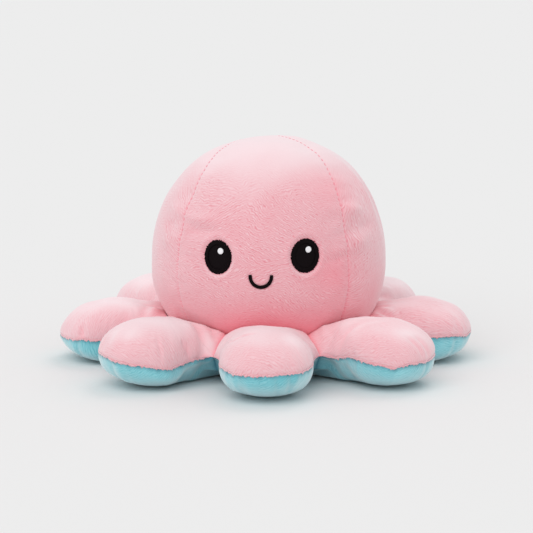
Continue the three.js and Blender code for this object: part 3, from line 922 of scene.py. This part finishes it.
def legPlan(inner, longer):  # places along and aside on rays from a leg's crown, and what lies there
    turn, reach, soft, rise, notch, corner = legGrid(inner)
    share = np.sin(rise)[:, None] ** (2 / leg["roundness"])
    reach = soft + (reach - soft) * share ** 5
    s = leg["crown"] + share * reach * np.cos(turn)
    s = s + longer * step(s, 60.0, 100.0)
    v = share * reach * np.sin(turn)
    away = np.abs(turn)
    return {
        "turn": turn, "share": share, "s": s, "v": v, "edge": np.hypot(s[-1], v[-1]), "seamed": away < notch,
        "onBorder": step(away, notch - 0.35, notch + 0.1),  # 0 along the seam, 1 along the crease
        "atRoot": step(away, corner - 0.25, corner + 0.1),
    }


def topHeights(plan, seam, shape):  # of a leg's pink side
    onBorder, atRoot = plan["onBorder"], plan["atRoot"]
    top = np.interp(plan["s"], *np.transpose(leg["topLine"])) + shape["lift"] * step(plan["s"], 50, 62)
    climb = (ring["notchReach"] - plan["edge"]) / (ring["notchReach"] - ring["valleyEnd"])
    climb = np.clip(climb, 0, 1.3)
    valley = ring["valleyLow"] + (ring["valleyHigh"] - ring["valleyLow"]) * climb
    low = seam * (1 - onBorder) + valley * onBorder
    low = low * (1 - atRoot) + ring["neckHeight"] * atRoot
    power = shape["fill"] + shape["flank"] * onBorder + 2.0 * atRoot
    sunk = (2.0 - shape["shoulder"]) * (1 - 0.35 * np.clip(climb, 0, 1))
    bottom = 2.0 - sunk * onBorder + 1.6 * atRoot
    return low + (top - low) * np.clip(1 - plan["share"] ** power, 0, 1) ** (1 / bottom)


def soleHeights(plan, seam, shape):  # of a leg's blue side
    turn, s, onBorder, atRoot = (plan[key] for key in ("turn", "s", "onBorder", "atRoot"))
    sole = shape["sole"] + shape["rock"] * np.sin(turn)
    sole = sole - shape["point"] * np.clip(np.cos(turn), 0, 1) ** 2
    inward = ring["notchReach"] - plan["edge"]
    valley = ring["valleyLow"] - (ring["valleyLow"] - ring["creaseLow"]) * step(inward, 0.0, 5.0)
    valley = valley - ring["creaseFall"] * step(inward, 5.0, 24.0)
    low = seam * (1 - onBorder) + valley * onBorder
    low = low * (1 - atRoot) + ring["mouthLift"] * atRoot
    web = ring["webLift"] * step(np.abs(plan["v"]), *ring["webAside"])
    web = web * (1 - step(s, *ring["webOuter"])) * step(s, *ring["webInner"])
    swell = np.clip(1 - plan["share"] ** (sole - 0.1 * onBorder), 0, 1) ** (1 / (sole - 0.9 * onBorder))
    return low * (1 - swell) + np.minimum(web, low) * swell + ring["floorGap"]


def legRelief(plan, points, name, number, upper):  # lumps, folds, puckers and pile, where they lie, and the painted shade that goes with them
    turn, s, v, onBorder = (plan[key] for key in ("turn", "s", "v", "onBorder"))
    around = roundTip(turn, 21, 60 * number)
    gather = noise(around, leg["puckerSize"], 31) * step(noise(around, leg["puckerPatch"], 32), -0.25, 0.35)
    start = np.array([[[leg["crown"], 0, points[0, :, 2].mean()]]]) + 0 * points[:1]
    arc = np.cumsum(np.linalg.norm(np.diff(np.concatenate([start, points]), axis=0), axis=-1), 0)
    fromEdge = arc[-1] - arc
    u, w = arc * np.sin(turn), arc * np.cos(turn)
    still = step(fromEdge, 0.0, 3.0)
    lumps = lumpy(flat(s + 200 * number, v), leg["lumpDepth"], leg["lumpSize"], leg["fineLumps"],
                  (51 + upper, 53 + upper))
    creased = bell(fromEdge, 10.0) * onBorder
    folds = leg["foldDepth"] * (1 if upper else leg["soleFolds"]) * creased
    folds = folds * noise(flat(u + 200 * number, w), leg["foldSize"], 61 + upper)
    folds = folds + folded(s, v, legFolds[name] if upper else soleFolds.get(name, []))
    pucker = leg["puckerDepth"] * gather * (1 - onBorder) * bell(fromEdge, leg["puckerReach"])
    tuck = leg["tuck"] * bell(fromEdge, 0.9) * (1 - onBorder)
    u, w = brushedPlace(u, w, {**plainShape, **legShapes[name]}["brushing"])
    relief = (lumps + folds) * still + pucker * step(fromEdge, 0.0, 1.0) - tuck
    relief = relief + brushedPile(u, w, leg["pileDepth"], 70 + 5 * number + 40 * upper) * still
    if not upper:
        relief = relief * step(points[..., 2], 0.0, 6.0)
    # painted shade along the creases between the legs, along the seam and in the fold recesses
    paintedShade = 0.08 * bell(fromEdge, 3.2) * onBorder + 0.1 * bell(fromEdge, 0.7) + 0.15 * np.clip(-folds, 0, 1)
    paintedShade = paintedShade + 0.25 * bell(fromEdge, 1.5) * onBorder
    return relief, paintedShade, fromEdge, u, w


def topPaintedLight(plan, points, paintedShade, fromEdge, name, besideHeadShade):  # painted shade beside and under the head; painted highlight on the tops of the legs and along the listed streaks
    out = underHead(points)[0]
    paintedShade = paintedShade + 0.8 * (1 - step(out, 45.0, 53.0)) + besideHeadShade * (1 - step(out, 50.0, 62.0))
    sleekAndPaintedHighlight = 0.8 * sleekness(points, *leg["sleekSpan"]) + folded(plan["s"], plan["v"], legPaintedLight[name])
    sleekAndPaintedHighlight = sleekAndPaintedHighlight + 0.32 + 0.15 * bell(fromEdge, 10.0) * plan["onBorder"]
    return paintedShade, np.clip(sleekAndPaintedHighlight, 0, 1.4)


def solePaintedShade(plan, height, paintedShade, fromEdge, number):  # painted shadow of the pink pile on the blue along the seam, painted shade under the creases between the legs, and painted shade towards the floor
    onBorder = plan["onBorder"]
    fringe = 0.75 + 0.5 * noise(roundTip(plan["turn"], 21, 60 * number), 2.2, 35)
    paintedShade = paintedShade + fringe * bell(fromEdge, 1.8) * (1 - onBorder)
    paintedShade = paintedShade + 0.5 * onBorder * bell(fromEdge, 11.0) * step(plan["s"], 40.0, 56.0)
    return np.clip(paintedShade + 0.2 * (1 - step(height, 1.0, 8.0)), 0, 1)


def makeLeg(number, upper):
    name = legNames[number]
    shape = {**plainShape, **legShapes[name]}
    plan = legPlan(ring["neckReach"] if upper else ring["mouthReach"], shape["longer"])
    turn = plan["turn"]
    seam = seamLevel(turn, number, shape)
    height = (topHeights if upper else soleHeights)(plan, seam, shape)
    points = np.stack([plan["s"], plan["v"], height], -1)
    relief, paintedShade, fromEdge, u, w = legRelief(plan, points, name, number, upper)
    points = points + normalsOf(points, flip=upper) * relief[..., None]
    heading = number * 2 * half - math.pi / 2
    points = sharedWarp(turned(points, heading))
    if upper:
        out, room = underHead(points)
        room = np.where(out < head["radius"], room - ring["headRoom"], 99.0)
        points[..., 2] = lesser(points[..., 2], room, 0.6)
    points[..., 2] = np.maximum(points[..., 2], 0.05)
    if upper:
        paintedShade, sleekAndPaintedHighlight = topPaintedLight(plan, points, paintedShade, fromEdge, name, shape["besideHeadShade"])
    else:
        paintedShade, sleekAndPaintedHighlight = solePaintedShade(plan, height, paintedShade, fromEdge, number), 0 * paintedShade

    rings, columns = height.shape
    middle = points[0].mean(0)[None]
    fan = [[1 + i, 1 + (i + 1) % columns, 0][::1 if upper else -1] for i in range(columns)]
    faces = fan + (np.array(gridFaces(rings, columns, closed=True, flip=upper)) + 1).tolist()
    shift = [150.0 * number, 400.0 * upper]
    u, w = u / leg["coarseness"] / leg["stretch"], w / leg["coarseness"]
    uv = np.vstack([[[0.0, 0.0]], np.stack([u, w], -1).reshape(-1, 2)]) + shift
    paintedShade = np.concatenate([[0.0], paintedShade.ravel()])
    sleekAndPaintedHighlight = np.concatenate([[sleekAndPaintedHighlight[0].mean()], sleekAndPaintedHighlight.ravel()])
    vertices = [middle, points.reshape(-1, 3)]
    if upper:  # the tufts along the seam belong to the same mesh
        chosen = np.nonzero(plan["seamed"])[0]
        chosen = chosen[np.argsort(turnsOf(turn[chosen]))]
        lip = makeLip(points[-1][chosen], number)
        first = 1 + rings * columns
        faces = faces + (np.array(gridFaces(len(lip), len(chosen), flip=True)) + first).tolist()
        down = np.cumsum(np.linalg.norm(np.diff(lip, axis=0, prepend=lip[:1]), axis=-1), 0)
        lipUv = np.stack([u[-1][chosen] + 0 * down, w[-1][chosen] + down], -1).reshape(-1, 2) + shift
        uv = np.vstack([uv, lipUv])
        vertices.append(lip.reshape(-1, 3))
        paintedShade, sleekAndPaintedHighlight = (np.concatenate([values, np.zeros(down.size)]) for values in (paintedShade, sleekAndPaintedHighlight))
    piece = meshFrom(
        f"leg_{name}_{'pink' if upper else 'blue'}", np.vstack(vertices), faces,
        pinkPlush if upper else bluePlush, uv, {"paintedShade": paintedShade, "sleekAndPaintedHighlight": sleekAndPaintedHighlight},
    )
    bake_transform(piece)
    if upper:
        dress(piece, "pink_plush", f"leg_{name}_top_skin", f"leg_{name}_filling")
    else:
        dress(piece, "blue_plush", f"leg_{name}_bottom_skin")
    return piece


upperLegs = [makeLeg(number, True) for number in range(8)]
lowerLegs = [makeLeg(number, False) for number in range(8)]
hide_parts("neck_ring")
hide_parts("ring_bottom_skin", "ring_filling")
print("legs made")


# Lining, tucked up inside the head as a pocket

pocket = {
    "mouth": 17.6,
    "mouthHeight": 3.3,
    "radius": 23.0,
    "waist": 40.0,
    "top": 78.0,
    "seamDepth": 0.9,
    "slack": 0.8,
    "slackSize": 13.0,
    "bend": (5.0, 25.0),  # heights between which it follows the head's twist
}


def makeLining(number):
    rows, columns = int(110 * fineness), int(60 * fineness)
    turn = np.linspace(0, math.pi / 2, rows // 2)
    radius = np.concatenate([
        pocket["radius"] * np.sin(turn),
        pocket["radius"] - (pocket["radius"] - pocket["mouth"]) * (1 - np.cos(turn[1:] * 2)) / 2,
    ])
    height = np.concatenate([
        pocket["waist"] + (pocket["top"] - pocket["waist"]) * np.cos(turn),
        pocket["waist"] + (pocket["mouthHeight"] - pocket["waist"]) * turn[1:] / (math.pi / 2),
    ])
    middle = number * math.pi / 2
    angle = middle + np.linspace(-math.pi / 4, math.pi / 4, columns)
    near = (math.pi / 4 - np.abs(angle - middle)) * radius[:, None]
    r = radius[:, None] + pocket["seamDepth"] * bell(near, 1.2)
    z = height[:, None] + 0 * angle
    points = np.stack([r * np.sin(angle), -r * np.cos(angle), z], -1)
    slack = pocket["slack"] * noise(points, pocket["slackSize"], 91)[..., None]
    points = points + slack * points * [1 / pocket["radius"], 1 / pocket["radius"], 0]
    uv = np.stack([(angle - middle) * r + 60 * number, z], -1)
    name = panelNames[number]
    # the lining takes painted shade along its seams
    piece = meshFrom(
        f"lining_{name}", turned(points, headTurn), gridFaces(len(height), columns), bluePlush, uv,
        {"paintedShade": 0.6 * bell(near, 1.0)},
    )
    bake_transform(piece)
    dress(piece, "blue_plush", f"lining_panel_{name}")


for number in range(4):
    makeLining(number)
print("lining made")


# Stitches

def capsules(starts, ends, radius, out, sides=6, rounds=4):  # short threads as one mesh
    along = ends - starts
    length = np.linalg.norm(along, axis=1, keepdims=True)
    along = along / length
    across = np.cross(along, out)
    across = across / np.linalg.norm(across, axis=1, keepdims=True)
    up = np.cross(across, along)
    rings = []
    for k in range(2 * rounds):
        turn = math.pi / 2 * ((k % rounds) / (rounds - 1) - (1 if k < rounds else 0))
        middle = starts if k < rounds else ends
        shift = math.sin(turn) * radius
        size = max(math.cos(turn), 0.08) * radius
        for j in range(sides):
            a = 2 * math.pi * j / sides
            rings.append(middle + along * shift + size * (across * math.cos(a) + up * math.sin(a)))
    points = np.stack(rings, 1)  # thread, ring and side
    count = points.shape[1]
    one = np.array(gridFaces(2 * rounds, sides, closed=True))
    faces = (one[None] + count * np.arange(len(starts))[:, None, None]).reshape(-1, 4).tolist()
    caps = []
    for n in range(len(starts)):
        first = n * count
        caps.append([first + j for j in range(sides)][::-1])
        caps.append([first + count - sides + j for j in range(sides)])
    return points.reshape(-1, 3), faces + caps


def makeSeamStitches(number, name):
    middles = np.arange(stitch["start"], arcAt(stitch["end"]), stitch["pitch"])
    angle = np.full(len(middles), (number + 0.5) * math.pi / 2)
    lift = stitch["sunk"]
    if name == "front_left":
        lift = lift - stitch["buried"] * (1 - step(headAt(middles)[1], *stitch["fade"]))
    ends = [headPoints(angle, middles + side * stitch["length"] / 2, lift) for side in (-1, 1)]
    out = headPoints(angle, middles, 1.0) - headPoints(angle, middles)
    points, faces = capsules(ends[0], ends[1], stitch["radius"], out)
    piece = meshFrom(f"stitches_{name}", points, faces, pinkThread)
    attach(piece, "head")
    dress(piece, "pink_thread", f"seam_thread_{name}")


for number, name in enumerate(("front_right", "back_right", "back_left", "front_left")):
    makeSeamStitches(number, name)
print("seams stitched")


# Face

embroidery = {
    "fillInset": 0.4,  # from the edge of the eye to the edge of its fill
    "fillPitch": 0.42,
    "fillHeight": 0.3,
    "borderPitch": 0.46,
    "borderWidth": 1.6,
    "borderRadius": 0.3,  # of its threads, and of the smile's
    "borderHeight": 0.5,
    "unevenness": 0.13,  # of the border's outer ends, as a share of the eye
    "glintWidth": 3.1,
    "glintHeight": 3.15,
    "glintAside": 1.4,
    "glintAbove": 2.8,
    "glintLift": 0.35,
    "smileWidth": 1.65,
    "smilePitch": 0.36,
    "smileHeight": 0.45,
}


def onFace(across, down, middleArc, lift):  # points by distances in the fabric from the face's middle line
    arc = middleArc + down
    radius = headAt(arc)[0]
    return headPoints(across / radius, arc, lift)


def makePatch(name, node, middle, middleArc, width, height, lift, rise, material, slot):
    rings, columns = int(34 * fineness), int(110 * fineness)
    share = np.linspace(0, 1, rings + 1)[1:, None]
    turn = np.linspace(0, 2 * math.pi, columns, endpoint=False)[None]
    x = share * np.cos(turn) * width / 2
    y = share * np.sin(turn) * height / 2
    rows = 0.5 + 0.5 * np.cos(2 * math.pi * (y + 0.12 * noise(flat(x, y), 1.4, 5)) / embroidery["fillPitch"])
    bump = rise + 0.07 * rows + 0.05 * noise(flat(x, y), (0.9, 0.5, 1), 6)
    bump = bump * (1 - share ** 6) - 0.3 * share ** 6
    points = onFace(middle + x, y, middleArc, lift + bump)
    centre = onFace(np.array([middle]), np.array([0.0]), middleArc, lift + rise)
    faces = [[1 + (i + 1) % columns, 1 + i, 0] for i in range(columns)]
    rest = (np.array(gridFaces(rings, columns, closed=True)) + 1).tolist()
    piece = meshFrom(name, np.vstack([centre, points.reshape(-1, 3)]), faces + rest, material)
    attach(piece, "head")
    dress(piece, slot, node)


def makeBorder(name, node, middle, arc, width, height, seed):
    count = int(math.pi * (width + height) / 2 / embroidery["borderPitch"])
    order = np.arange(count) * 1.0
    turn = order * 2 * math.pi / count
    outer = 0.985 + embroidery["unevenness"] * 0.5 * noise(flat(order, 0 * order), 0.9, seed)
    inner = 1 - 2 * embroidery["borderWidth"] / width + 0.03 * noise(flat(order, 1 + 0 * order), 0.9, seed)
    ends = []
    for share, rise in ((inner, 0.75), (outer, 0.35)):
        x = share * np.cos(turn) * width / 2
        y = share * np.sin(turn) * height / 2
        ends.append(onFace(middle + x, y, arc, rise * embroidery["borderHeight"]))
    out = onFace(middle + 0 * turn, 0 * turn, arc, 2.0) - onFace(middle + 0 * turn, 0 * turn, arc, 0.0)
    points, faces = capsules(ends[0], ends[1], embroidery["borderRadius"], out)
    piece = meshFrom(name, points, faces, blackThread)
    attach(piece, "head")
    dress(piece, "black_embroidery", node)


def makeEye(side, name):
    middle, arc = side * face["eyeSpacing"] / 2, eyeArc - side * face["eyeTilt"]
    width, height = face["eyeWidth"], face["eyeHeight"]
    inset = 2 * embroidery["fillInset"]
    makePatch(
        f"eye_{name}", f"eye_patch_{name}", middle, arc, width - inset, height - inset,
        0.0, embroidery["fillHeight"], blackThread, "black_embroidery",
    )
    makeBorder(f"eye_edge_{name}", f"eye_border_{name}", middle, arc, width, height, 11 + side)
    makePatch(
        f"glint_{name}", f"eye_glint_{name}",
        middle + embroidery["glintAside"], arc - embroidery["glintAbove"],
        embroidery["glintWidth"], embroidery["glintHeight"],
        embroidery["glintLift"], embroidery["glintLift"], whiteThread, "white_embroidery",
    )


makeEye(-1, "left")
makeEye(1, "right")


def makeSmile():
    radius, pitch = face["smileRadius"], embroidery["smilePitch"]
    reach = embroidery["smileWidth"] / 2 - embroidery["borderRadius"]  # from the line to a stitch's end
    count = int(math.pi * radius / pitch)
    turn = math.pi * (np.arange(count) + 0.5) / count
    ends = []
    for side in (-1, 1):
        across, down = (radius + side * reach) * np.cos(turn), (radius + side * reach) * np.sin(turn)
        for corner in (-1, 1):  # a few shorter stitches round off each end
            for k, share in enumerate((1.0, 0.85)):
                across = np.append(across, corner * radius + side * share * reach)
                down = np.append(down, -(k + 0.3) * pitch)
        ends.append(onFace(across, down, smileArc, embroidery["smileHeight"]))
    middle = (ends[0] + ends[1]) / 2
    out = (middle - [0, 0, middle[:, 2].mean()]) * [1, 1, 0.2]
    points, faces = capsules(ends[0], ends[1], embroidery["borderRadius"], out)
    piece = meshFrom("mouth", points, faces, blackThread)
    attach(piece, "head")
    dress(piece, "black_embroidery", "smile")


makeSmile()
print("face made")


# Floor, light and camera

studio = {
    "grey": 0.805,  # of the floor and of the background
    "worldLight": 0.72,
    "lamps": [(1.0, (37, -24), 60), (0.38, (-30, 20), 30)],  # how bright, degrees of lean and of width
    "cameraRise": 10.0,  # degrees above the horizon
    "cameraReach": 912.0,
    "aim": (0.0, 0.0, 45.0),
    "lens": 127.3,
    "floorSize": 40000.0,
}


def makeStudio():
    finish = Finish("paleFloor")
    grey = (studio["grey"],) * 3 + (1.0,)
    finish.surface({"Base Color": grey, "Roughness": 0.9, "Specular IOR Level": 0.0})
    size = studio["floorSize"] / 2
    corners = np.array([[-size, -size, 0], [size, -size, 0], [size, size, 0], [-size, size, 0]])
    floor = meshFrom("floor", corners, [[0, 1, 2, 3]], finish.material)
    scene = bpy.context.scene
    scene.world = bpy.data.worlds.new("studio")
    scene.world.use_nodes = True
    background = scene.world.node_tree.nodes["Background"]
    background.inputs["Color"].default_value = (1.0, 1.0, 1.0, 1.0)
    background.inputs["Strength"].default_value = studio["worldLight"]
    for energy, lean, width in studio["lamps"]:
        sun = bpy.data.lights.new("softbox", "SUN")
        sun.energy = energy
        sun.angle = math.radians(width)
        lamp = bpy.data.objects.new("softbox", sun)
        lamp.rotation_euler = (*(math.radians(a) for a in lean), 0)
        scene.collection.objects.link(lamp)


def makeCamera():
    rise = math.radians(studio["cameraRise"])
    back = Vector((0, -math.cos(rise), math.sin(rise)))
    camera = bpy.data.objects.new("camera", bpy.data.cameras.new("camera"))
    camera.data.lens = studio["lens"]
    camera.location = (Vector(studio["aim"]) + back * studio["cameraReach"]) * millimetre
    camera.rotation_euler = (-back).to_track_quat("-Z", "Y").to_euler()
    bpy.context.scene.collection.objects.link(camera)
    bpy.context.scene.camera = camera


makeStudio()
makeCamera()
bpy.context.scene.view_settings.view_transform = "Standard"

print("scene made")
